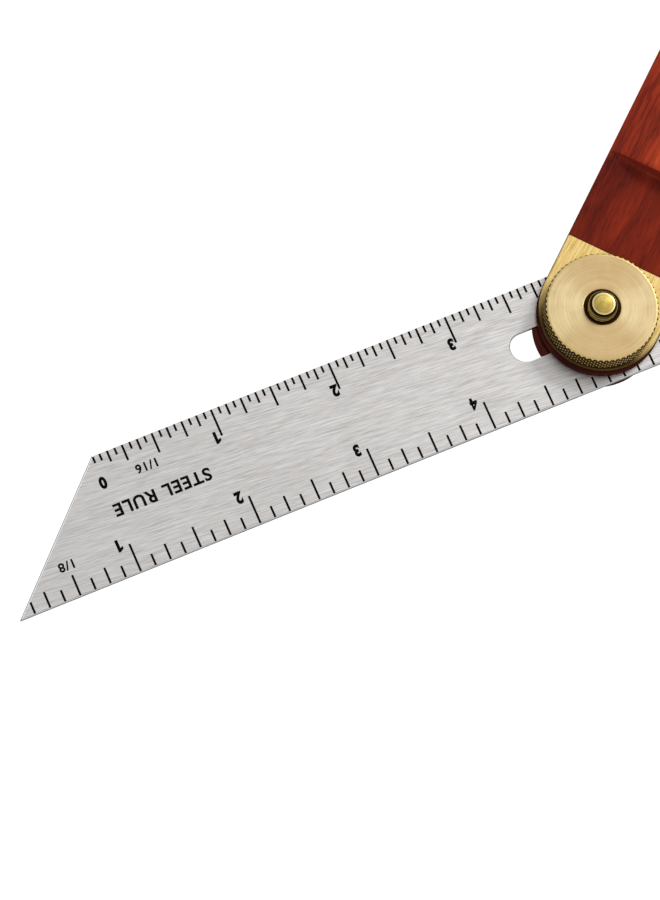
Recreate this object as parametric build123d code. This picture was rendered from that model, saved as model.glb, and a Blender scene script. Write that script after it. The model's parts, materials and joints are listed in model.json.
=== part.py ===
from build123d import *
import os

# Sliding bevel, set as an open tool lying on its back. Millimetres, +Z up.
# The origin is where the pivot axis leaves the flat head of the clamp screw.
# +X runs from the pivot to the butt of the stock, and +Z is the pivot axis towards the nut.

INCH = 25.4

# Stock: one piece of hardwood, its head round about the pivot, its grip crowned on both faces.
STOCK_HALF_WIDTH = INCH / 2
HEAD_CENTRE_X = 0.5
HEAD_NOSE_X = HEAD_CENTRE_X - STOCK_HALF_WIDTH
BUTT_X = 128.0
BUTT_CROWN = 5.0
BUTT_CORNER_ROUND = 5.0
SHOULDER_X = 31.75
SHOULDER_BOW = 1.1
SHOULDER_COVE = 0.6
CROWN_RISE = 3.3
RIM_ROUND = 1.2
KERF_END_X = 118.0
KERF_CLEARANCE = 0.3

# Layers through the head, from the back face to the front.
SCREW_HEAD_HEIGHT = 2.0
BOLSTER_THICKNESS = 0.9
REAR_CHEEK_THICKNESS = 6.0
BLADE_THICKNESS = 1.2
FRONT_CHEEK_THICKNESS = 1.6
NUT_HEIGHT = 4.2
SCREW_PROJECTION = 2.1

REAR_FACE_Z = SCREW_HEAD_HEIGHT
REAR_SEAT_Z = REAR_FACE_Z + BOLSTER_THICKNESS
KERF_BOTTOM_Z = REAR_SEAT_Z + REAR_CHEEK_THICKNESS
BLADE_BOTTOM_Z = KERF_BOTTOM_Z + KERF_CLEARANCE
BLADE_TOP_Z = BLADE_BOTTOM_Z + BLADE_THICKNESS
KERF_TOP_Z = BLADE_TOP_Z + KERF_CLEARANCE
FRONT_SEAT_Z = KERF_TOP_Z + FRONT_CHEEK_THICKNESS
FRONT_FACE_Z = FRONT_SEAT_Z + BOLSTER_THICKNESS
NUT_TOP_Z = FRONT_FACE_Z + NUT_HEIGHT
SCREW_TIP_Z = NUT_TOP_Z + SCREW_PROJECTION

# Brass bolsters: plates let into both faces of the head, straight across at the grip side.
BOLSTER_END_X = 12.4
BOLSTER_NOSE_X = -11.75
BOLSTER_INSET = 0.15
BOLSTER_EDGE_BREAK = 0.25

# Clamp screw, knurled nut and the washers on the screw.
SCREW_RADIUS = 2.95
SCREW_HEAD_RADIUS = 6.5
SCREW_HEAD_BREAK = 0.5
SCREW_TIP_BREAK = 0.65
NECK_SIDE = 6.6
NECK_LENGTH = 2.4
NECK_CLEARANCE = 0.05
CLEARANCE_HOLE_RADIUS = 3.05
NUT_RADIUS = 11.5
NUT_EDGE_BREAK = 0.6
NUT_BORE_RADIUS = 3.0
NUT_MOUTH_RADIUS = 3.77
CAPTIVE_WASHER_RADIUS = 7.0
CAPTIVE_WASHER_THICKNESS = 0.5
CAPTIVE_WASHER_CLEARANCE = 0.1
FRICTION_WASHER_RADIUS = 9.0
FRICTION_WASHER_THICKNESS = 0.25
WASHER_HOLE_RADIUS = 3.03

# Blade: a steel rule with a 45 degree end, a long slot and a round far end.
BLADE_WIDTH = INCH
BLADE_LENGTH = 8 * INCH
BLADE_EDGE_BREAK = 0.12
SLOPING_END_RUN = INCH
SLOT_START = 111.0
SLOT_END = 193.2
SLOT_WIDTH = 6.2
SLOT_LINE = 13.42
PIVOT_ON_BLADE = 130.1
BLADE_TURN = -40.75

OVERCUT = 5.0


def ring(outer_radius, inner_radius, bottom, top):
    """A flat ring about the pivot axis."""
    height = top - bottom
    middle = (top + bottom) / 2
    return Pos(0, 0, middle) * (Cylinder(outer_radius, height) - Cylinder(inner_radius, 2 * height))


def slab(low_x, high_x, half_width, bottom, top):
    """A box from low_x to high_x, centred on the XZ plane."""
    size = (high_x - low_x, 2 * half_width, top - bottom)
    return Pos((low_x + high_x) / 2, 0, (bottom + top) / 2) * Box(*size)


def round_ended_plan(half_width, nose_x, end_x):
    """Plan outline that is round at nose_x and straight across at end_x."""
    low_start = (HEAD_CENTRE_X, -half_width)
    high_start = (HEAD_CENTRE_X, half_width)
    with BuildSketch() as plan:
        with BuildLine():
            ThreePointArc(high_start, (nose_x, 0), low_start)
            Polyline(low_start, (end_x, -half_width), (end_x, half_width), high_start)
        make_face()
    return plan.sketch


def stock_plan():
    """Plan outline of the stock: a round head, parallel edges and a gently bowed butt."""
    side = STOCK_HALF_WIDTH
    corner_x = BUTT_X - BUTT_CROWN
    with BuildSketch() as plan:
        with BuildLine():
            Line((HEAD_CENTRE_X, side), (corner_x, side))
            ThreePointArc((corner_x, side), (BUTT_X, 0), (corner_x, -side))
            Line((corner_x, -side), (HEAD_CENTRE_X, -side))
            ThreePointArc((HEAD_CENTRE_X, -side), (HEAD_NOSE_X, 0), (HEAD_CENTRE_X, side))
        make_face()
        corners = plan.vertices().group_by(Axis.X)[-1]
        fillet(corners, BUTT_CORNER_ROUND)
    return plan.sketch


def stock_section():
    """Section across the grip: upright sides, and a crown on the front and the back."""
    side = STOCK_HALF_WIDTH
    with BuildSketch(Plane.YZ) as section:
        with BuildLine():
            Line((-side, REAR_FACE_Z), (-side, FRONT_FACE_Z))
            ThreePointArc((-side, FRONT_FACE_Z), (0, FRONT_FACE_Z + CROWN_RISE), (side, FRONT_FACE_Z))
            Line((side, FRONT_FACE_Z), (side, REAR_FACE_Z))
            ThreePointArc((side, REAR_FACE_Z), (0, REAR_FACE_Z - CROWN_RISE), (-side, REAR_FACE_Z))
        make_face()
    return section.sketch


def head_recess(floor_z, outward):
    """Cutter that planes one face of the head flat, up to the bowed shoulder."""
    side = STOCK_HALF_WIDTH
    bow_radius = (side**2 + SHOULDER_BOW**2) / (2 * SHOULDER_BOW)
    depth = CROWN_RISE + OVERCUT
    block = slab(-side - OVERCUT, SHOULDER_X + 2 * SHOULDER_BOW, side + OVERCUT, 0, depth)
    grip_end = Pos(SHOULDER_X + bow_radius, 0, depth / 2) * Cylinder(bow_radius, 2 * depth)
    cutter = block - grip_end
    floor_edges = cutter.faces().sort_by(Axis.Z)[0].edges()
    cove_edge = floor_edges.filter_by(GeomType.CIRCLE)
    cutter = fillet(cove_edge, SHOULDER_COVE)
    if outward < 0:
        cutter = mirror(cutter, about=Plane.XY)
    return Pos(0, 0, floor_z) * cutter


def bolster_seat(seat_z, outward):
    """Cutter for the shallow seat of one bolster."""
    side = STOCK_HALF_WIDTH + OVERCUT
    far_z = seat_z + outward * OVERCUT
    return slab(-side, BOLSTER_END_X, side, min(seat_z, far_z), max(seat_z, far_z))


def handle_stock():
    """The wooden stock, slotted from the head so that the blade swings between two cheeks."""
    low_z = REAR_FACE_Z - CROWN_RISE - OVERCUT
    high_z = FRONT_FACE_Z + CROWN_RISE + OVERCUT
    bar = Pos(-STOCK_HALF_WIDTH, 0, 0) * extrude(stock_section(), BUTT_X + STOCK_HALF_WIDTH)
    plan = Pos(0, 0, low_z) * extrude(stock_plan(), high_z - low_z)
    body = bar & plan
    rim = body.edges() - body.edges().filter_by(Axis.Z)
    body = fillet(rim.filter_by_position(Axis.X, 0, BUTT_X), RIM_ROUND)
    body -= head_recess(FRONT_FACE_Z, 1)
    body -= head_recess(REAR_FACE_Z, -1)
    body -= bolster_seat(FRONT_SEAT_Z, 1)
    body -= bolster_seat(REAR_SEAT_Z, -1)
    cut_side = STOCK_HALF_WIDTH + OVERCUT
    body -= slab(-cut_side, KERF_END_X, cut_side, KERF_BOTTOM_Z, KERF_TOP_Z)
    body -= Pos(0, 0, BLADE_TOP_Z) * Cylinder(CLEARANCE_HOLE_RADIUS, 4 * NUT_RADIUS)
    body -= neck_hole()
    return body


def neck_hole():
    """Square hole for the screw's neck, through the rear bolster and into the rear cheek."""
    side = NECK_SIDE + 2 * NECK_CLEARANCE
    depth = NECK_LENGTH + NECK_CLEARANCE
    return Pos(0, 0, REAR_FACE_Z + depth / 2) * Box(side, side, depth)


def bolster(bottom_z, outward):
    """A brass plate on one face of the head, its rim broken except where it butts on the wood."""
    outline = round_ended_plan(STOCK_HALF_WIDTH - BOLSTER_INSET, BOLSTER_NOSE_X, BOLSTER_END_X)
    plate = extrude(outline, BOLSTER_THICKNESS)
    outer_face = plate.faces().sort_by(Axis.Z)[-1 if outward > 0 else 0]
    rim = outer_face.edges() - outer_face.edges().filter_by(Axis.Y)
    plate = chamfer(rim, BOLSTER_EDGE_BREAK)
    return Pos(0, 0, bottom_z) * plate


def front_bolster():
    """The bolster under the nut, with a round hole for the screw."""
    return bolster(FRONT_SEAT_Z, 1) - Pos(0, 0, FRONT_SEAT_Z) * Cylinder(CLEARANCE_HOLE_RADIUS, NUT_RADIUS)


def rear_bolster():
    """The bolster under the screw's head, with the square hole that keeps the screw from turning."""
    return bolster(REAR_FACE_Z, -1) - neck_hole()


def clamp_screw():
    """Flat-headed screw with a square neck, its shank running through the whole head."""
    head = Pos(0, 0, SCREW_HEAD_HEIGHT / 2) * Cylinder(SCREW_HEAD_RADIUS, SCREW_HEAD_HEIGHT)
    head = chamfer(head.faces().sort_by(Axis.Z)[0].edges(), SCREW_HEAD_BREAK)
    neck = Pos(0, 0, REAR_FACE_Z + NECK_LENGTH / 2) * Box(NECK_SIDE, NECK_SIDE, NECK_LENGTH)
    shank = Pos(0, 0, SCREW_TIP_Z / 2) * Cylinder(SCREW_RADIUS, SCREW_TIP_Z)
    shank = chamfer(shank.faces().sort_by(Axis.Z)[-1].edges(), SCREW_TIP_BREAK)
    return head + neck + shank


def knurled_nut():
    """Round nut, its rim broken at both ends, with a countersunk mouth and a washer recess below."""
    body = Pos(0, 0, FRONT_FACE_Z + NUT_HEIGHT / 2) * Cylinder(NUT_RADIUS, NUT_HEIGHT)
    body = chamfer(body.edges().filter_by(GeomType.CIRCLE), NUT_EDGE_BREAK)
    body -= Pos(0, 0, FRONT_FACE_Z) * Cylinder(NUT_BORE_RADIUS, 4 * NUT_HEIGHT)
    mouth_depth = NUT_MOUTH_RADIUS - NUT_BORE_RADIUS
    mouth = Cone(NUT_BORE_RADIUS, NUT_MOUTH_RADIUS, mouth_depth)
    body -= Pos(0, 0, NUT_TOP_Z - mouth_depth / 2) * mouth
    recess_radius = CAPTIVE_WASHER_RADIUS + CAPTIVE_WASHER_CLEARANCE
    recess_top = FRONT_FACE_Z + CAPTIVE_WASHER_THICKNESS
    return body - ring(recess_radius, 0.5 * NUT_BORE_RADIUS, FRONT_FACE_Z - OVERCUT, recess_top)


def captive_washer():
    """Washer in the nut's underside, which rises with the nut and doesn't turn."""
    top = FRONT_FACE_Z + CAPTIVE_WASHER_THICKNESS
    return ring(CAPTIVE_WASHER_RADIUS, WASHER_HOLE_RADIUS, FRONT_FACE_Z, top)


def friction_washer(gap_bottom_z):
    """Thin washer in the middle of the gap between the blade and one cheek."""
    bottom = gap_bottom_z + (KERF_CLEARANCE - FRICTION_WASHER_THICKNESS) / 2
    top = bottom + FRICTION_WASHER_THICKNESS
    return ring(FRICTION_WASHER_RADIUS, WASHER_HOLE_RADIUS, bottom, top)


def blade_plan():
    """Plan outline of the blade, from its tip at the origin along its lower edge."""
    round_radius = BLADE_WIDTH / 2
    straight_end = BLADE_LENGTH - round_radius
    with BuildSketch() as plan:
        with BuildLine():
            Line((0, 0), (straight_end, 0))
            ThreePointArc((straight_end, 0), (BLADE_LENGTH, round_radius), (straight_end, BLADE_WIDTH))
            Line((straight_end, BLADE_WIDTH), (SLOPING_END_RUN, BLADE_WIDTH))
            Line((SLOPING_END_RUN, BLADE_WIDTH), (0, 0))
        make_face()
        slot_middle = (SLOT_START + SLOT_END) / 2
        with Locations((slot_middle, SLOT_LINE)):
            SlotOverall(SLOT_END - SLOT_START, SLOT_WIDTH, mode=Mode.SUBTRACT)
    return plan.sketch


def blade():
    """The blade, turned about the pivot to its set angle."""
    plate = extrude(blade_plan(), BLADE_THICKNESS)
    flat_faces = plate.faces().filter_by(Axis.Z)
    plate = chamfer(flat_faces.edges(), BLADE_EDGE_BREAK)
    on_pivot = Pos(-PIVOT_ON_BLADE, -SLOT_LINE, BLADE_BOTTOM_Z) * plate
    return Rot(0, 0, BLADE_TURN) * on_pivot


NODES = {
    "handle_stock": handle_stock(),
    "front_bolster": front_bolster(),
    "rear_bolster": rear_bolster(),
    "clamp_screw": clamp_screw(),
    "knurled_nut": knurled_nut(),
    "nut_washer": captive_washer(),
    "front_friction_washer": friction_washer(BLADE_TOP_Z),
    "rear_friction_washer": friction_washer(KERF_BOTTOM_Z),
    "blade": blade(),
}

os.makedirs("parts", exist_ok=True)
for name, shape in NODES.items():
    export_step(shape, f"parts/{name}.step")
    box = shape.bounding_box()
    print(name, "volume", round(shape.volume, 1), "low", box.min, "high", box.max)
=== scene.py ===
import json
import math

import bpy
import numpy as np
from mathutils import Matrix, Vector


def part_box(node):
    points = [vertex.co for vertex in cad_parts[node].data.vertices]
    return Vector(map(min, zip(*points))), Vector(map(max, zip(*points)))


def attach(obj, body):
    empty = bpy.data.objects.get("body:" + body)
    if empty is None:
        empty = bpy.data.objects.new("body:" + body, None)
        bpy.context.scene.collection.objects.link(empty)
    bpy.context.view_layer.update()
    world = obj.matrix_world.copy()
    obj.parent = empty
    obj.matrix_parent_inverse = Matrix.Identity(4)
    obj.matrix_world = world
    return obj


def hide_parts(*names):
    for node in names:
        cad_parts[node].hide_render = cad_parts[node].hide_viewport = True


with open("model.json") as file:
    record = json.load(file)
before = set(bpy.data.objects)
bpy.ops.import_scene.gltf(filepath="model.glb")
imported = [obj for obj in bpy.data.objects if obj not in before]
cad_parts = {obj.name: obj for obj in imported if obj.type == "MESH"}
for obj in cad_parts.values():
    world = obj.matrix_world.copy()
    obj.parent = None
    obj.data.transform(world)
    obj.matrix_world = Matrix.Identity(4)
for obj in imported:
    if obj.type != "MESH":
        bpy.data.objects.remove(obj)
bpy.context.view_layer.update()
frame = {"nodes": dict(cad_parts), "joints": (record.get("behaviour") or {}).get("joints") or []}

# Sliding bevel: materials, the knurled nut, the threaded screw, the blade's marks, light and camera.
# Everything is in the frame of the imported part: +Z is the pivot axis, +X runs along the stock.
# Lengths are named in millimetres and multiplied by MM.

MM = 0.001
INCH = 25.4


def lows_and_highs(node):
    """Lowest and highest corner of a CAD node, in millimetres."""
    low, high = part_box(node)
    return low / MM, high / MM


BLADE_LOW, BLADE_HIGH = lows_and_highs("blade")
NUT_LOW, NUT_HIGH = lows_and_highs("knurled_nut")
SCREW_LOW, SCREW_HIGH = lows_and_highs("clamp_screw")
_, BOLSTER_HIGH = lows_and_highs("front_bolster")
STOCK_LOW, _ = lows_and_highs("handle_stock")

# Knurled nut. The rings near its rim and mouth keep the shading of their edges off the flat face.
NUT_RADIUS = NUT_HIGH.x
NUT_EDGE_BREAK = 0.6
NUT_FACE_RADIUS = NUT_RADIUS - NUT_EDGE_BREAK
NUT_MOUTH_RADIUS = 3.77
NUT_BORE_RADIUS = 3.0
NUT_RECESS_RADIUS = 7.1
NUT_RECESS_DEPTH = 0.5
NUT_TEETH = 62
NUT_TOOTH_SAMPLES = 10
NUT_RIM_RING = 0.12
NUT_MOUTH_RINGS = (0.3, 0.1)
NUT_MOUTH_SOFTENING = 0.03
NUT_CREASE_ANGLE = 24
KNURL_DEPTH = 0.45
KNURL_AXIAL_PITCH = 1.4
KNURL_ROWS = 48
KNURL_CREST_GAIN = 1.1
KNURL_END_STEEPNESS = 2.4

# Clamp screw.
SCREW_RADIUS = 2.95
SCREW_HEAD_RADIUS = SCREW_HIGH.x
SCREW_HEAD_BREAK = 0.5
SCREW_HEAD_ROUNDING = (0.1, 0.05)
SCREW_HEAD_HEIGHT = 2.0
SCREW_TIP_BREAK = 0.65
SCREW_TIP_RADIUS = SCREW_RADIUS - SCREW_TIP_BREAK
SCREW_TIP_SOFTENING = (0.08, 0.02)
SCREW_NECK_SIDE = 6.6
SCREW_NECK_LENGTH = 2.4
THREAD_PITCH = 1.0
THREAD_DEPTH = 0.5
THREAD_START_Z = 11.4
THREAD_RINGS_PER_TURN = 14
THREAD_CREST_GAIN = 1.35
THREAD_ROOT_WIDTH = 0.15
SCREW_SEGMENTS = 96
SCREW_CREASE_ANGLE = 30

# Stock: where the head's plain wood meets the grip, and the share of white mixed into the wood's colour as
# a painted sheen.
SHOULDER_X = 32.0
PAINTED_SHEEN = 0.007

# Graduations and figures on the blade, measured along and across it from its tip. The lengths of the
# graduations go by the fraction of an inch that they mark. A numeral's shape is its height, the weight
# added to its strokes, and its width as a share of the font's own.
MARK_HEIGHT = 0.01
MARK_SINK = 0.004
TICK_WIDTH = 0.45
TICK_GAP = 0.13
COARSE_PARTS = 8
COARSE_TICKS = 59
COARSE_LENGTHS = {1: 6.1, 2: 4.55, 4: 3.5, 8: 2.6}
FINE_PARTS = 16
FINE_START = INCH
FINE_TICKS = 104
FIRST_TICK_SHIFT = 0.14
FINE_LENGTHS = {1: 5.9, 2: 4.4, 4: 3.5, 8: 2.5, 16: 1.6}
NUMERAL_SHAPE = (2.6, 0.06, 0.86)
COARSE_NUMERAL_SHIFT = -1.95
COARSE_NUMERAL_LINE = 6.48
FINE_NUMERAL_SHIFT = -1.05
FINE_NUMERAL_LINE = 19.5
CAPTION_WEIGHT = 0.03
LETTER_SPACING = 1.12
PARTS_CAPTION_HEIGHT = 1.95
FINE_CAPTION_PLACE = (34.6, 19.43)
COARSE_CAPTION_PLACE = (12.34, 6.65)
WORDING = "STEEL RULE"
WORDING_HEIGHT = 2.75
WORDING_PLACE = (35.5, 13.31)

# Camera, floor and light. The levels are those of the surroundings at the horizon and overhead.
CAMERA_EYE = Vector((-254.25, -13.12, 717.95))
CAMERA_AIM = Vector((-49.14, 36.03, 10.4))
CAMERA_UP = Vector((0.85689, 0.43377, 0.27853))
CAMERA_LENS = 149.481
CAMERA_SENSOR = 36.0
CAMERA_CLIPS_M = (0.01, 60.0)
FLOOR_SIZE = 24000.0
FLOOR_GAP = 0.05
HORIZON_LEVEL = 0.4
OVERHEAD_LEVEL = 0.73
OVERHEAD_HEIGHT = 0.9
KEY_DIRECTION = Vector((0.66, -0.25, 0.71))
KEY_DISTANCE_M = 3.0
KEY_SIZE_M = 0.8
KEY_WATTS = 35.0


def slide_direction():
    """Unit vector along the blade from its tip to its round end, taken from the slide joint."""
    axis = next(joint["axis"] for joint in frame["joints"] if joint["name"] == "blade_slide")
    return -Vector(axis).normalized()


ALONG = slide_direction()
ACROSS = Vector((-ALONG.y, ALONG.x, 0.0))
BLADE_ANGLE = math.atan2(ALONG.y, ALONG.x)


def blade_reach(direction):
    """Least and greatest reach of the blade in a direction, in metres."""
    reaches = [v.co.dot(direction) for v in frame["nodes"]["blade"].data.vertices]
    return min(reaches), max(reaches)


def blade_frame():
    """Matrix from blade coordinates (along, across, up from the top face; millimetres) to metres."""
    start, _ = blade_reach(ALONG)
    side, _ = blade_reach(ACROSS)
    origin = ALONG * start + ACROSS * side + Vector((0, 0, BLADE_HIGH.z * MM))
    columns = (ALONG * MM, ACROSS * MM, Vector((0, 0, MM)), origin)
    return Matrix([[column[row] for column in columns] for row in range(3)] + [[0, 0, 0, 1]])


def blade_width():
    low, high = blade_reach(ACROSS)
    return (high - low) / MM


BLADE_FRAME = blade_frame()
BLADE_TIP = BLADE_FRAME.to_translation() / MM
BLADE_START, BLADE_SIDE = BLADE_TIP.dot(ALONG), BLADE_TIP.dot(ACROSS)
BLADE_WIDTH = blade_width()


# ---------------------------------------------------------------- shader helpers

def tint(red, green, blue):
    """A colour given as 0 to 255 display values, as the linear RGBA that a shader takes."""
    channels = []
    for value in (red, green, blue):
        v = value / 255
        channels.append(v / 12.92 if v <= 0.04045 else ((v + 0.055) / 1.055) ** 2.4)
    return (*channels, 1.0)


class Look:
    """One material, with short calls for the nodes used in this file."""

    def __init__(self, name, **sockets):
        self.material = bpy.data.materials.new(name)
        self.material.use_nodes = True
        self.tree = self.material.node_tree
        self.tree.nodes.clear()
        self.shader = self.node("ShaderNodeBsdfPrincipled")
        output = self.node("ShaderNodeOutputMaterial")
        self.tree.links.new(self.shader.outputs["BSDF"], output.inputs["Surface"])
        for socket, value in sockets.items():
            self.set(socket.replace("_", " "), value)

    def node(self, kind, **settings):
        made = self.tree.nodes.new(kind)
        for key, value in settings.items():
            setattr(made, key, value)
        return made

    def feed(self, value, socket):
        if isinstance(value, bpy.types.NodeSocket):
            self.tree.links.new(value, socket)
        else:
            socket.default_value = value

    def set(self, socket, value):
        self.feed(value, self.shader.inputs[socket])

    def place(self, turn=0.0, stretch=(1, 1, 1), shift=(0, 0, 0)):
        """Object coordinates in millimetres, turned about Z and then divided by the stretch."""
        source = self.node("ShaderNodeTexCoord").outputs["Object"]
        turned = self.node("ShaderNodeMapping", vector_type="POINT")
        self.feed(source, turned.inputs["Vector"])
        turned.inputs["Rotation"].default_value = (0, 0, turn)
        turned.inputs["Scale"].default_value = (1 / MM, 1 / MM, 1 / MM)
        scaled = self.node("ShaderNodeMapping", vector_type="POINT")
        self.feed(turned.outputs["Vector"], scaled.inputs["Vector"])
        scaled.inputs["Scale"].default_value = [1 / s for s in stretch]
        scaled.inputs["Location"].default_value = shift
        return scaled.outputs["Vector"]

    def split(self, vector):
        parts = self.node("ShaderNodeSeparateXYZ")
        self.feed(vector, parts.inputs["Vector"])
        return parts.outputs["X"], parts.outputs["Y"], parts.outputs["Z"]

    def join(self, x, y, z):
        made = self.node("ShaderNodeCombineXYZ")
        for value, key in zip((x, y, z), "XYZ"):
            self.feed(value, made.inputs[key])
        return made.outputs["Vector"]

    def maths(self, operation, a, b=0.0):
        made = self.node("ShaderNodeMath", operation=operation)
        self.feed(a, made.inputs[0])
        self.feed(b, made.inputs[1])
        return made.outputs["Value"]

    def product(self, first, *others):
        for other in others:
            first = self.maths("MULTIPLY", first, other)
        return first

    def weighted(self, *terms):
        """Sum of the terms, each a value and its weight."""
        parts = [self.maths("MULTIPLY", value, weight) for value, weight in terms]
        total = parts[0]
        for part in parts[1:]:
            total = self.maths("ADD", total, part)
        return total

    def noise(self, where, detail=2.0, rough=0.5, warp=0.0):
        """Smooth noise about one unit across."""
        made = self.node("ShaderNodeTexNoise", noise_dimensions="3D")
        self.feed(where, made.inputs["Vector"])
        made.inputs["Scale"].default_value = 1.0
        made.inputs["Detail"].default_value = detail
        made.inputs["Roughness"].default_value = rough
        made.inputs["Distortion"].default_value = warp
        return made.outputs["Fac"]

    def cells(self, where):
        """Distance to the nearest of scattered points, about one per unit cube."""
        made = self.node("ShaderNodeTexVoronoi", voronoi_dimensions="3D", feature="F1")
        self.feed(where, made.inputs["Vector"])
        made.inputs["Scale"].default_value = 1.0
        made.inputs["Randomness"].default_value = 1.0
        return made.outputs["Distance"]

    def remap(self, value, low, high, to_low=0.0, to_high=1.0, smooth=False):
        """The value's range from low to high, mapped to to_low to to_high and held there outside it."""
        kind = "SMOOTHSTEP" if smooth else "LINEAR"
        made = self.node("ShaderNodeMapRange", interpolation_type=kind)
        self.feed(value, made.inputs["Value"])
        for key, number in (("From Min", low), ("From Max", high), ("To Min", to_low), ("To Max", to_high)):
            self.feed(number, made.inputs[key])
        return made.outputs["Result"]

    def ramp(self, value, *stops):
        """A colour from the value, between stops of (value, colour)."""
        made = self.node("ShaderNodeValToRGB")
        ramp = made.color_ramp
        while len(ramp.elements) < len(stops):
            ramp.elements.new(0.5)
        for element, (position, colour) in zip(ramp.elements, stops):
            element.position = position
            element.color = colour
        self.feed(value, made.inputs["Fac"])
        return made.outputs["Color"]

    def mix(self, share, a, b):
        """Colour a where the share is 0, colour b where it is 1."""
        made = self.node("ShaderNodeMix", data_type="RGBA", blend_type="MIX")
        self.feed(share, made.inputs["Factor"])
        self.feed(a, made.inputs[6])
        self.feed(b, made.inputs[7])
        return made.outputs[2]

    def bump(self, height, strength, distance):
        """Raises the surface by the height times the distance, in millimetres."""
        made = self.node("ShaderNodeBump")
        made.inputs["Strength"].default_value = strength
        made.inputs["Distance"].default_value = distance * MM
        self.feed(height, made.inputs["Height"])
        return made.outputs["Normal"]

    def facing_up(self):
        """How far the flat face points along Z, from 0 on a wall to 1 on a level face."""
        _, _, z = self.split(self.node("ShaderNodeTexCoord").outputs["Normal"])
        return self.maths("ABSOLUTE", z)

    def radius(self, vector):
        """Distance from the pivot axis."""
        x, y, _ = self.split(vector)
        return self.maths("SQRT", self.weighted((x, x), (y, y)))


# ---------------------------------------------------------------- materials

def rosewood():
    """Oiled rosewood: irregular figure, darker in the head, warmer in the grip, fibres and open pores;
    painted shade on the shoulder's wall, on the nose's walls and below the blade's top, and a painted sheen
    mixed in.
    """
    look = Look("rosewood", Specular_IOR_Level=0.0)
    figure = look.noise(look.place(stretch=(19, 4.2, 4.2), shift=(2, 1, 0)), detail=3, rough=0.5, warp=0.7)
    streaks = look.noise(look.place(stretch=(6, 0.45, 1.4), shift=(3, 5, 1)), detail=4, rough=0.6, warp=0.3)
    fibres = look.noise(look.place(stretch=(5, 0.16, 0.3)), detail=2, rough=0.6)
    shade = look.weighted((figure, 0.5), (streaks, 0.32), (fibres, 0.18))
    along, _, height = look.split(look.place())
    shade = look.maths("ADD", shade, look.remap(along, BOLSTER_HIGH.x, SHOULDER_X, 0.05, -0.06))
    head_wood = look.ramp(
        shade,
        (0.33, tint(72, 18, 10)),
        (0.44, tint(100, 26, 13)),
        (0.54, tint(122, 34, 16)),
        (0.67, tint(148, 46, 20)),
    )
    grip_wood = look.ramp(
        shade,
        (0.34, tint(116, 34, 19)),
        (0.43, tint(160, 52, 28)),
        (0.53, tint(182, 65, 34)),
        (0.64, tint(206, 88, 45)),
    )
    grip = look.remap(along, SHOULDER_X - 1.5, SHOULDER_X + 1.5, smooth=True)
    wood = look.mix(grip, head_wood, grip_wood)
    pores = look.cells(look.place(stretch=(3.2, 0.3, 0.3)))
    pore_mask = look.remap(pores, 0.10, 0.26, 1.0, 0.0, smooth=True)
    density = look.remap(streaks, 0.42, 0.60, 0.75, 0.15)
    pore_mask = look.product(pore_mask, density)
    wood = look.mix(pore_mask, wood, tint(36, 8, 9))
    # Painted shade: the shoulder's wall, facing the head, is tinted a plain red that is darker than the
    # grip it meets.
    slope = look.remap(look.facing_up(), 0.35, 0.92, 1.0, 0.0)
    before = look.remap(along, SHOULDER_X - 4.0, SHOULDER_X - 1.0)
    after = look.remap(along, SHOULDER_X + 1.5, SHOULDER_X + 3.0, 0.85, 0.0)
    wood = look.mix(look.product(slope, before, after), wood, tint(136, 43, 25))
    # On level faces, a dark joint line in the wood next to the bolster. On walls, painted shade darkening
    # the head's nose, strongest at the nose and fading by twice the bolster's length.
    joint = look.remap(along, BOLSTER_HIGH.x, BOLSTER_HIGH.x + 0.3, 0.8, 0.0)
    nose_shade = look.remap(along, 0.0, 2 * BOLSTER_HIGH.x, 0.8, 0.0, smooth=True)
    wood = look.mix(look.remap(look.facing_up(), 0.5, 0.6, nose_shade, joint), wood, tint(34, 8, 6))
    # Painted shade: the wood below the blade's top is darkened, reaching half the dark colour at the
    # blade's underside and below.
    back = look.remap(height, BLADE_LOW.z, BLADE_HIGH.z, 0.5, 0.0)
    wood = look.mix(back, wood, tint(50, 10, 4))
    # Painted sheen: a little white mixed into the wood's colour, standing in for the specular the wood does
    # not have.
    wood = look.mix(PAINTED_SHEEN, wood, tint(255, 255, 255))
    look.set("Base Color", wood)
    look.set("Roughness", look.remap(fibres, 0.3, 0.7, 0.5, 0.66))
    relief = look.weighted((fibres, 0.25), (pore_mask, -1.0))
    look.set("Normal", look.bump(relief, 0.25, 0.05))
    return look.material


def bolster_brass():
    """Golden brass brushed along the stock, with painted shade on its walls and a painted shadow on its
    nose side beside the nut.
    """
    look = Look("bolster_brass", Metallic=1.0, Roughness=0.42)
    coarse = look.noise(look.place(turn=0.06, stretch=(7, 0.22, 0.6)), detail=4, rough=0.65)
    fine = look.noise(look.place(turn=-0.03, stretch=(3, 0.08, 0.2)), detail=2, rough=0.6)
    clouds = look.noise(look.place(stretch=(6, 6, 6)), detail=2)
    value = look.weighted((coarse, 0.55), (fine, 0.45))
    base = look.ramp(
        value,
        (0.36, tint(186, 146, 70)),
        (0.48, tint(220, 188, 116)),
        (0.60, tint(242, 220, 156)),
    )
    base = look.mix(look.remap(clouds, 0.4, 0.75, 0.0, 0.3), base, tint(200, 160, 84))
    along, _, _ = look.split(look.place())
    # Painted shadow: the bolster beside the nut, on the nose side away from the key light, is darkened
    # where the nut's shadow falls.
    nose_shade = look.remap(along, 1.0, -7.0, 0.0, 0.95, smooth=True)
    base = look.mix(nose_shade, base, tint(70, 50, 24))
    # Painted shade: the plate's walls get a darker brass colour than its level face.
    level = look.remap(look.facing_up(), 0.3, 0.6)
    look.set("Base Color", look.mix(level, tint(120, 84, 30), base))
    look.set("Roughness", look.remap(fine, 0.3, 0.7, 0.34, 0.5))
    look.set("Normal", look.bump(value, 0.3, 0.02))
    return look.material


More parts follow.
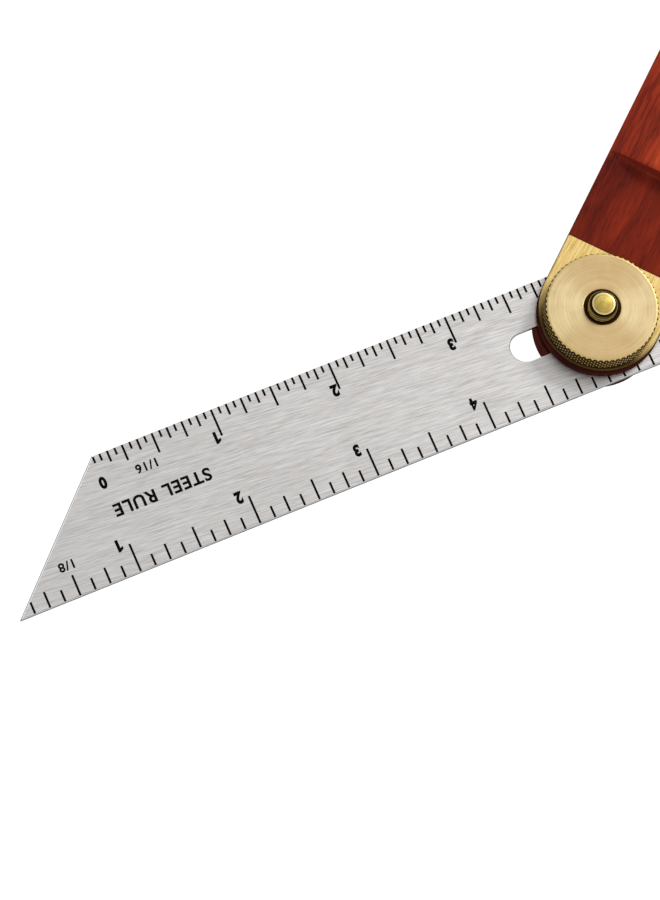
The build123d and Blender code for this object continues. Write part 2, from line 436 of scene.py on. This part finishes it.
def nut_brass():
    """Turned brass: fine concentric tool marks on the face, painted darker sectors across the face, tarnish
    and painted shade in the knurl's grooves, painted shade at the mouth's edge.
    """
    look = Look("nut_brass", Metallic=1.0, Roughness=0.5)
    where = look.place()
    radius = look.radius(where)
    _, _, height = look.split(where)
    x, y, _ = look.split(look.place(stretch=(14, 14, 14)))
    rings = look.noise(look.join(look.product(radius, 7.0), x, y), detail=3, rough=0.7)
    broad = look.noise(look.join(look.product(radius, 1.6), x, y), detail=2)
    clouds = look.noise(look.place(stretch=(5, 5, 5)), detail=3, rough=0.6)
    value = look.weighted((rings, 0.5), (broad, 0.15), (clouds, 0.35))
    base = look.ramp(
        value,
        (0.34, tint(190, 164, 118)),
        (0.50, tint(214, 192, 146)),
        (0.66, tint(232, 212, 168)),
    )
    # Painted shade: the face is darkened in the two opposite sectors along the direction (0.89, 0.45),
    # standing in for the darker lobes of light on turned metal.
    east, north, _ = look.split(where)
    along_shaded_sectors = look.weighted((east, 0.89), (north, 0.45))
    turned = look.maths("DIVIDE", look.maths("ABSOLUTE", along_shaded_sectors), look.maths("MAXIMUM", radius, 0.5))
    base = look.mix(look.remap(turned, 0.35, 0.95, 0.0, 0.45, smooth=True), base, tint(176, 142, 88))
    above = look.maths("SUBTRACT", height, NUT_LOW.z)
    below = look.maths("SUBTRACT", NUT_HIGH.z, height)
    slope = look.product(look.maths("MINIMUM", above, below), KNURL_END_STEEPNESS)
    crest = look.maths("MINIMUM", look.maths("ADD", slope, NUT_FACE_RADIUS), NUT_RADIUS)
    depth = look.remap(look.maths("SUBTRACT", crest, radius), 0.02, KNURL_DEPTH, 1.0, 0.0)
    side = look.remap(radius, NUT_FACE_RADIUS - 0.02, NUT_FACE_RADIUS + 0.05, 0.0, 1.0)
    # Tarnish and painted shade: the knurl darkens with the depth of its grooves, nearly black in their
    # roots.
    groove_tarnish_and_shade = look.ramp(
        depth,
        (0.0, tint(18, 12, 6)),
        (0.5, tint(56, 42, 20)),
        (0.8, tint(110, 86, 44)),
        (1.0, tint(224, 198, 126)),
    )
    base = look.mix(side, base, groove_tarnish_and_shade)
    # Painted shade: a thin brown ring at the edge of the mouth.
    throat = look.remap(radius, NUT_MOUTH_RADIUS - 0.06, NUT_MOUTH_RADIUS + 0.06, 1.0, 0.0)
    base = look.mix(throat, base, tint(134, 88, 42))
    look.set("Base Color", base)
    look.set("Roughness", look.remap(rings, 0.3, 0.7, 0.44, 0.56))
    look.set("Normal", look.bump(rings, 0.03, 0.01))
    return look.material


def screw_brass():
    """Turned yellow brass: a flat tip with a painted highlight at its rim; painted shade on the sides,
    darkest in the thread roots, with painted glints on the crests.
    """
    look = Look("screw_brass", Metallic=1.0, Roughness=0.34)
    radius = look.radius(look.place())
    rings = look.noise(look.join(look.product(radius, 6.0), 0.0, 0.0), detail=3, rough=0.6)
    blots = look.noise(look.place(stretch=(2.2, 2.2, 2.2)), detail=3, rough=0.6)
    base = look.ramp(
        look.weighted((rings, 0.55), (blots, 0.45)),
        (0.34, tint(160, 136, 66)),
        (0.52, tint(194, 168, 88)),
        (0.68, tint(228, 208, 128)),
    )
    # Painted highlight: a pale rim around the edge of the flat tip.
    rim = look.remap(radius, SCREW_TIP_RADIUS - 0.35, SCREW_TIP_RADIUS - 0.1, 0.0, 0.7)
    base = look.mix(rim, base, tint(250, 240, 190))
    # Painted shade on every side that is not level, darkest in the thread roots, with lighter crests as
    # painted glints.
    level = look.remap(look.facing_up(), 0.85, 0.95)
    depth = look.remap(radius, SCREW_RADIUS - THREAD_DEPTH, SCREW_RADIUS - 0.05, 0.0, 1.0)
    wall = look.ramp(depth, (0.0, tint(24, 15, 7)), (0.6, tint(66, 46, 20)), (1.0, tint(176, 150, 84)))
    look.set("Base Color", look.mix(level, wall, base))
    look.set("Roughness", look.remap(blots, 0.3, 0.7, 0.28, 0.42))
    look.set("Normal", look.bump(rings, 0.15, 0.012))
    return look.material


def blade_steel():
    """Stainless steel with fine brush strokes near the blade's direction; painted shade on its walls, along
    one long side and at its sloped end, painted highlights on its bevels and beside the sloped end.
    """
    look = Look("blade_steel", Metallic=1.0, Roughness=0.4)
    turn = -BLADE_ANGLE + 0.09
    long_strokes = look.noise(look.place(turn=turn, stretch=(8, 0.14, 1)), detail=4, rough=0.66)
    short_place = look.place(turn=turn - 0.03, stretch=(4, 0.1, 1), shift=(7, 2, 0))
    short_strokes = look.noise(short_place, detail=3, rough=0.65)
    clouds = look.noise(look.place(turn=turn, stretch=(22, 9, 9)), detail=2)
    value = look.weighted((long_strokes, 0.44), (short_strokes, 0.5), (clouds, 0.06))
    base = look.ramp(
        value,
        (0.33, tint(168, 164, 162)),
        (0.47, tint(211, 208, 206)),
        (0.60, tint(232, 230, 228)),
    )
    # Painted shade and highlight: walls get a dark colour, and the bevels between the walls and the top
    # face a bright white one.
    up = look.facing_up()
    edge = look.remap(up, 0.9, 0.98)
    wall = look.remap(up, 0.3, 0.6)
    rim = look.mix(wall, tint(22, 20, 19), tint(250, 250, 250))
    # Painted highlight: a white band beside the sloped end. Painted shade: a dark band along the long side
    # where across is nearest zero, and a dark line at the very edge of the sloped end.
    along, across, _ = look.split(look.place(turn=-BLADE_ANGLE, shift=(-BLADE_START, -BLADE_SIDE, 0)))
    from_slope = look.product(look.maths("SUBTRACT", along, across), math.sqrt(0.5))
    base = look.mix(look.remap(from_slope, 0.26, 0.34, 1.0, 0.0), base, tint(255, 255, 255))
    base = look.mix(look.remap(across, 0.14, 0.2, 0.8, 0.0), base, tint(60, 58, 58))
    base = look.mix(edge, rim, base)
    base = look.mix(look.remap(from_slope, 0.1, 0.14, 1.0, 0.0), base, tint(30, 28, 28))
    look.set("Base Color", base)
    look.set("Roughness", look.remap(short_strokes, 0.3, 0.7, 0.28, 0.42))
    look.set("Normal", look.bump(value, 0.3, 0.01))
    return look.material


def scale_marking():
    """Black fill of the graduations and figures, slightly uneven."""
    look = Look("scale_marking", Specular_IOR_Level=0.05, Roughness=0.8)
    wear = look.noise(look.place(stretch=(0.5, 0.5, 0.5)), detail=3, rough=0.6)
    look.set("Base Color", look.ramp(wear, (0.3, tint(3, 3, 4)), (0.7, tint(14, 13, 13))))
    look.set("Roughness", look.remap(wear, 0.3, 0.7, 0.7, 0.9))
    return look.material


def floor_white():
    """Pale floor, lit from within like a light table, so it stays even."""
    look = Look("floor_white", Base_Color=(0.2, 0.2, 0.2, 1.0), Specular_IOR_Level=0.0, Roughness=1.0)
    look.set("Emission Color", (1.0, 1.0, 1.0, 1.0))
    look.set("Emission Strength", 1.0)
    return look.material


# ---------------------------------------------------------------- geometry helpers

def new_object(name, verts, faces, material):
    mesh = bpy.data.meshes.new(name)
    mesh.from_pydata([tuple(v) for v in verts], [], faces)
    mesh.update()
    obj = bpy.data.objects.new(name, mesh)
    bpy.context.scene.collection.objects.link(obj)
    mesh.materials.append(material)
    return obj


def crease(obj, degrees):
    """Smooth shading, except across edges sharper than this."""
    obj.data.shade_smooth()
    obj.data.set_sharp_from_angle(angle=math.radians(degrees))


def turned_mesh(name, rings, segments, material, closed):
    """A turned piece. Each ring is (radii, height); the rings join into a loop, or end in flat caps."""
    angles = np.arange(segments) * 2 * math.pi / segments
    verts = []
    for radii, height in rings:
        for r, a in zip(np.broadcast_to(radii, angles.shape), angles):
            verts.append((r * math.cos(a) * MM, r * math.sin(a) * MM, height * MM))
    faces = []
    count = len(rings)
    for k in range(count if closed else count - 1):
        lower, upper = k * segments, ((k + 1) % count) * segments
        for i in range(segments):
            j = (i + 1) % segments
            faces.append((lower + i, lower + j, upper + j, upper + i))
    if not closed:
        faces.append(tuple(reversed(range(segments))))
        faces.append(tuple(range((count - 1) * segments, count * segments)))
    return new_object(name, verts, faces, material)


# ---------------------------------------------------------------- pieces

def triangle_wave(x):
    return 1 - np.abs(2 * (x - np.floor(x)) - 1)


def knurl_radii(height, segments):
    """Radii of the diamond knurl at one height, between two sets of crossing V grooves."""
    turns = np.arange(segments) / segments * NUT_TEETH
    lean = (height - NUT_LOW.z) / KNURL_AXIAL_PITCH
    crest = np.minimum(triangle_wave(turns + lean), triangle_wave(turns - lean))
    return NUT_RADIUS - KNURL_DEPTH * (1 - np.minimum(1, KNURL_CREST_GAIN * crest))


def nut_rings(segments):
    """Rings of the nut from its lower rim, up the knurl, over the face and down the bore."""
    low, high = NUT_LOW.z, NUT_HIGH.z
    rings = [(NUT_FACE_RADIUS, low)]
    for k in range(1, KNURL_ROWS):
        height = low + (high - low) * k / KNURL_ROWS
        from_end = min(height - low, high - height)
        limit = min(NUT_RADIUS, NUT_FACE_RADIUS + KNURL_END_STEEPNESS * from_end)
        rings.append((np.minimum(knurl_radii(height, segments), limit), height))
    rings += [(NUT_FACE_RADIUS, high), (NUT_FACE_RADIUS - NUT_RIM_RING, high)]
    rings += [(NUT_MOUTH_RADIUS + gap, high) for gap in NUT_MOUTH_RINGS]
    rings += [
        (NUT_MOUTH_RADIUS, high - NUT_MOUTH_SOFTENING),
        (NUT_BORE_RADIUS, high - (NUT_MOUTH_RADIUS - NUT_BORE_RADIUS)),
        (NUT_BORE_RADIUS, low + NUT_RECESS_DEPTH),
        (NUT_RECESS_RADIUS, low + NUT_RECESS_DEPTH),
        (NUT_RECESS_RADIUS, low),
    ]
    return rings


def knurled_nut(material):
    segments = NUT_TEETH * NUT_TOOTH_SAMPLES
    nut = turned_mesh("knurled_nut_detailed", nut_rings(segments), segments, material, closed=True)
    crease(nut, NUT_CREASE_ANGLE)
    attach(nut, "nut")
    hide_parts("knurled_nut")


def square_radii(side, segments):
    """Radii of a square section, limited to rounded corners."""
    angles = np.arange(segments) * 2 * math.pi / segments
    reach = np.maximum(np.abs(np.cos(angles)), np.abs(np.sin(angles)))
    return side / 2 / reach


def thread_radii(height, segments, limit):
    """Radii of the helical thread at one height."""
    turns = np.arange(segments) / segments
    wave = triangle_wave(height / THREAD_PITCH - turns)
    crest = np.clip(THREAD_CREST_GAIN * wave - THREAD_ROOT_WIDTH, 0, 1)
    fade = min(1.0, max(0.0, (height - THREAD_START_Z) / THREAD_PITCH))
    radii = SCREW_RADIUS - THREAD_DEPTH * fade * (1 - crest)
    return np.minimum(radii, limit)


def screw_rings(segments):
    """Rings of the screw from the flat of its head to its tip."""
    head_top = SCREW_HEAD_HEIGHT
    neck_top = head_top + SCREW_NECK_LENGTH
    tip = SCREW_HIGH.z
    inward, upward = SCREW_HEAD_ROUNDING
    rings = [
        (SCREW_HEAD_RADIUS - SCREW_HEAD_BREAK, 0.0),
        (SCREW_HEAD_RADIUS - inward, SCREW_HEAD_BREAK - inward),
        (SCREW_HEAD_RADIUS, SCREW_HEAD_BREAK + upward),
        (SCREW_HEAD_RADIUS, head_top),
        (square_radii(SCREW_NECK_SIDE, segments), head_top),
        (square_radii(SCREW_NECK_SIDE, segments), neck_top),
        (SCREW_RADIUS, neck_top),
        (SCREW_RADIUS, THREAD_START_Z),
    ]
    steps = int(round((tip - THREAD_START_Z) / (THREAD_PITCH / THREAD_RINGS_PER_TURN)))
    for k in range(1, steps):
        height = THREAD_START_Z + (tip - THREAD_START_Z) * k / steps
        limit = min(SCREW_RADIUS, SCREW_TIP_RADIUS + (tip - height))
        rings.append((thread_radii(height, segments, limit), height))
    inward, downward = SCREW_TIP_SOFTENING
    rings += [(SCREW_TIP_RADIUS, tip - downward), (SCREW_TIP_RADIUS - inward, tip)]
    return rings


def clamp_screw(material):
    rings = screw_rings(SCREW_SEGMENTS)
    screw = turned_mesh("clamp_screw_threaded", rings, SCREW_SEGMENTS, material, closed=False)
    crease(screw, SCREW_CREASE_ANGLE)
    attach(screw, "handle")
    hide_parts("clamp_screw")


def tick_boxes(places):
    """Verts and faces of thin bars on the blade; each place is (along, low edge, high edge)."""
    verts, faces = [], []
    for along, low, high in places:
        base = len(verts)
        for up in (-MARK_SINK, MARK_HEIGHT):
            for x, y in ((-1, low), (1, low), (1, high), (-1, high)):
                verts.append(BLADE_FRAME @ Vector((along + x * TICK_WIDTH / 2, y, up)))
        faces += [
            tuple(base + i for i in quad)
            for quad in ((3, 2, 1, 0), (4, 5, 6, 7), (0, 1, 5, 4), (1, 2, 6, 5), (2, 3, 7, 6), (3, 0, 4, 7))
        ]
    return verts, faces


def tick_length(index, parts, lengths):
    """Length of a graduation from the coarsest fraction of an inch that it falls on."""
    for fraction in sorted(lengths):
        if index * fraction % parts == 0:
            return lengths[fraction]
    return lengths[max(lengths)]


def scale_ticks(material):
    places = []
    for index in range(1, COARSE_TICKS + 1):
        length = tick_length(index, COARSE_PARTS, COARSE_LENGTHS)
        places.append((index * INCH / COARSE_PARTS, TICK_GAP, length))
    for index in range(FINE_TICKS + 1):
        length = tick_length(index, FINE_PARTS, FINE_LENGTHS) if index else FINE_LENGTHS[FINE_PARTS]
        along = FINE_START + index * INCH / FINE_PARTS + (0 if index else FIRST_TICK_SHIFT)
        top = BLADE_WIDTH - TICK_GAP * (1 if index else 2)
        places.append((along, BLADE_WIDTH - length, top))
    verts, faces = tick_boxes(places)
    ticks = new_object("scale_ticks", verts, faces, material)
    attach(ticks, "blade")


def numeral_one():
    """A figure one with a flag, as vertices of a front face, a back face and the joining walls."""
    outline = [(0.28, 0.0), (0.56, 0.0), (0.56, 1.0), (0.36, 1.0), (0.04, 0.82), (0.04, 0.58), (0.28, 0.70)]
    count = len(outline)
    co = np.array([(x, y, z) for z in (0.5, -0.5) for x, y in outline])
    front = [(0, 1, 2, 3, 6), (3, 4, 5, 6)]
    back = [tuple(count + i for i in reversed(face)) for face in front]
    walls = [(i, i + count, (i + 1) % count + count, (i + 1) % count) for i in range(count)]
    return co, front + back + walls


def printed_text(text, weight):
    """Vertices and faces of a short text, one unit of font size high, extruded both ways."""
    curve = bpy.data.curves.new("text", "FONT")
    curve.body = text
    curve.size = 1.0
    curve.offset = weight
    curve.space_character = LETTER_SPACING
    curve.extrude = 0.5
    curve.resolution_u = 6
    holder = bpy.data.objects.new("text", curve)
    bpy.context.scene.collection.objects.link(holder)
    bpy.context.view_layer.update()
    mesh = bpy.data.meshes.new_from_object(holder.evaluated_get(bpy.context.evaluated_depsgraph_get()))
    co = np.array([v.co for v in mesh.vertices])
    faces = [tuple(face.vertices) for face in mesh.polygons]
    bpy.data.objects.remove(holder)
    bpy.data.curves.remove(curve)
    bpy.data.meshes.remove(mesh)
    return co, faces


def lettering(name, labels, material):
    """Flat raised characters, each (text, along, across, height, weight, width), read towards the tip."""
    verts, faces = [], []
    for text, along, across, height, weight, width in labels:
        co, text_faces = numeral_one() if text == "1" else printed_text(text, weight)
        low, high = co.min(0), co.max(0)
        scale = height / (high[1] - low[1])
        middle = (low + high) / 2
        base = len(verts)
        for x, y, z in co:
            back = (x - middle[0]) * scale * width
            down = (y - middle[1]) * scale
            level = MARK_HEIGHT if z > 0 else -MARK_SINK
            verts.append(BLADE_FRAME @ Vector((along - back, across - down, level)))
        faces += [tuple(base + i for i in face) for face in text_faces]
    made = new_object(name, verts, faces, material)
    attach(made, "blade")


def scale_figures(material):
    labels = []
    for inch in range(1, 8):
        labels.append((str(inch), inch * INCH + COARSE_NUMERAL_SHIFT, COARSE_NUMERAL_LINE, *NUMERAL_SHAPE))
    for inch in range(0, 7):
        shift = FINE_NUMERAL_SHIFT if inch else 0.0
        labels.append((str(inch), FINE_START + inch * INCH + shift, FINE_NUMERAL_LINE, *NUMERAL_SHAPE))
    lettering("scale_figures", labels, material)


def scale_captions(material):
    labels = [
        ("1/16", *FINE_CAPTION_PLACE, PARTS_CAPTION_HEIGHT, CAPTION_WEIGHT, 1.0),
        ("1/8", *COARSE_CAPTION_PLACE, PARTS_CAPTION_HEIGHT, CAPTION_WEIGHT, 1.0),
        (WORDING, *WORDING_PLACE, WORDING_HEIGHT, CAPTION_WEIGHT, 1.0),
    ]
    lettering("scale_captions", labels, material)


def finish_node(node, material):
    mesh = frame["nodes"][node].data
    mesh.materials.clear()
    mesh.materials.append(material)


# ---------------------------------------------------------------- floor, light, camera

def floor(material):
    half = FLOOR_SIZE / 2 * MM
    height = (min(STOCK_LOW.z, SCREW_LOW.z) - FLOOR_GAP) * MM
    corners = [(-half, -half, height), (half, -half, height), (half, half, height), (-half, half, height)]
    made = new_object("floor", corners, [(0, 1, 2, 3)], material)


def key_light():
    """A square soft box that faces the pivot."""
    light = bpy.data.lights.new("key_light", "AREA")
    light.shape = "SQUARE"
    light.size = KEY_SIZE_M
    light.energy = KEY_WATTS
    holder = bpy.data.objects.new("key_light", light)
    towards = KEY_DIRECTION.normalized()
    holder.location = towards * KEY_DISTANCE_M
    holder.rotation_euler = towards.to_track_quat("Z", "Y").to_euler()
    bpy.context.scene.collection.objects.link(holder)


def surroundings():
    """Plain grey surroundings, brighter overhead than at the horizon."""
    world = bpy.data.worlds.new("studio")
    world.use_nodes = True
    bpy.context.scene.world = world
    tree = world.node_tree
    tree.nodes.clear()
    where = tree.nodes.new("ShaderNodeTexCoord")
    parts = tree.nodes.new("ShaderNodeSeparateXYZ")
    ramp = tree.nodes.new("ShaderNodeValToRGB")
    background = tree.nodes.new("ShaderNodeBackground")
    output = tree.nodes.new("ShaderNodeOutputWorld")
    tree.links.new(where.outputs["Generated"], parts.inputs["Vector"])
    tree.links.new(parts.outputs["Z"], ramp.inputs["Fac"])
    tree.links.new(ramp.outputs["Color"], background.inputs["Color"])
    tree.links.new(background.outputs["Background"], output.inputs["Surface"])
    stops = ((0.0, HORIZON_LEVEL), (OVERHEAD_HEIGHT, OVERHEAD_LEVEL))
    for element, (position, level) in zip(ramp.color_ramp.elements, stops):
        element.position = position
        element.color = (level, level, level, 1.0)


def camera():
    """The camera, from its eye, aim and up direction."""
    data = bpy.data.cameras.new("camera")
    data.lens = CAMERA_LENS
    data.sensor_width = CAMERA_SENSOR
    data.clip_start, data.clip_end = CAMERA_CLIPS_M
    holder = bpy.data.objects.new("camera", data)
    back = (CAMERA_EYE - CAMERA_AIM).normalized()
    right = CAMERA_UP.cross(back).normalized()
    up = back.cross(right)
    axes = Matrix((right, up, back)).transposed().to_4x4()
    axes.translation = CAMERA_EYE * MM
    holder.matrix_world = axes
    bpy.context.scene.collection.objects.link(holder)
    bpy.context.scene.camera = holder


def main():
    wood, bolster, nut, screw = rosewood(), bolster_brass(), nut_brass(), screw_brass()
    steel, black = blade_steel(), scale_marking()
    finish_node("handle_stock", wood)
    finish_node("front_bolster", bolster)
    finish_node("rear_bolster", bolster)
    finish_node("blade", steel)
    for washer in ("nut_washer", "front_friction_washer", "rear_friction_washer"):
        finish_node(washer, screw)
    knurled_nut(nut)
    clamp_screw(screw)
    scale_ticks(black)
    scale_figures(black)
    scale_captions(black)
    floor(floor_white())
    surroundings()
    key_light()
    camera()
    bpy.context.scene.view_settings.view_transform = "Standard"


main()
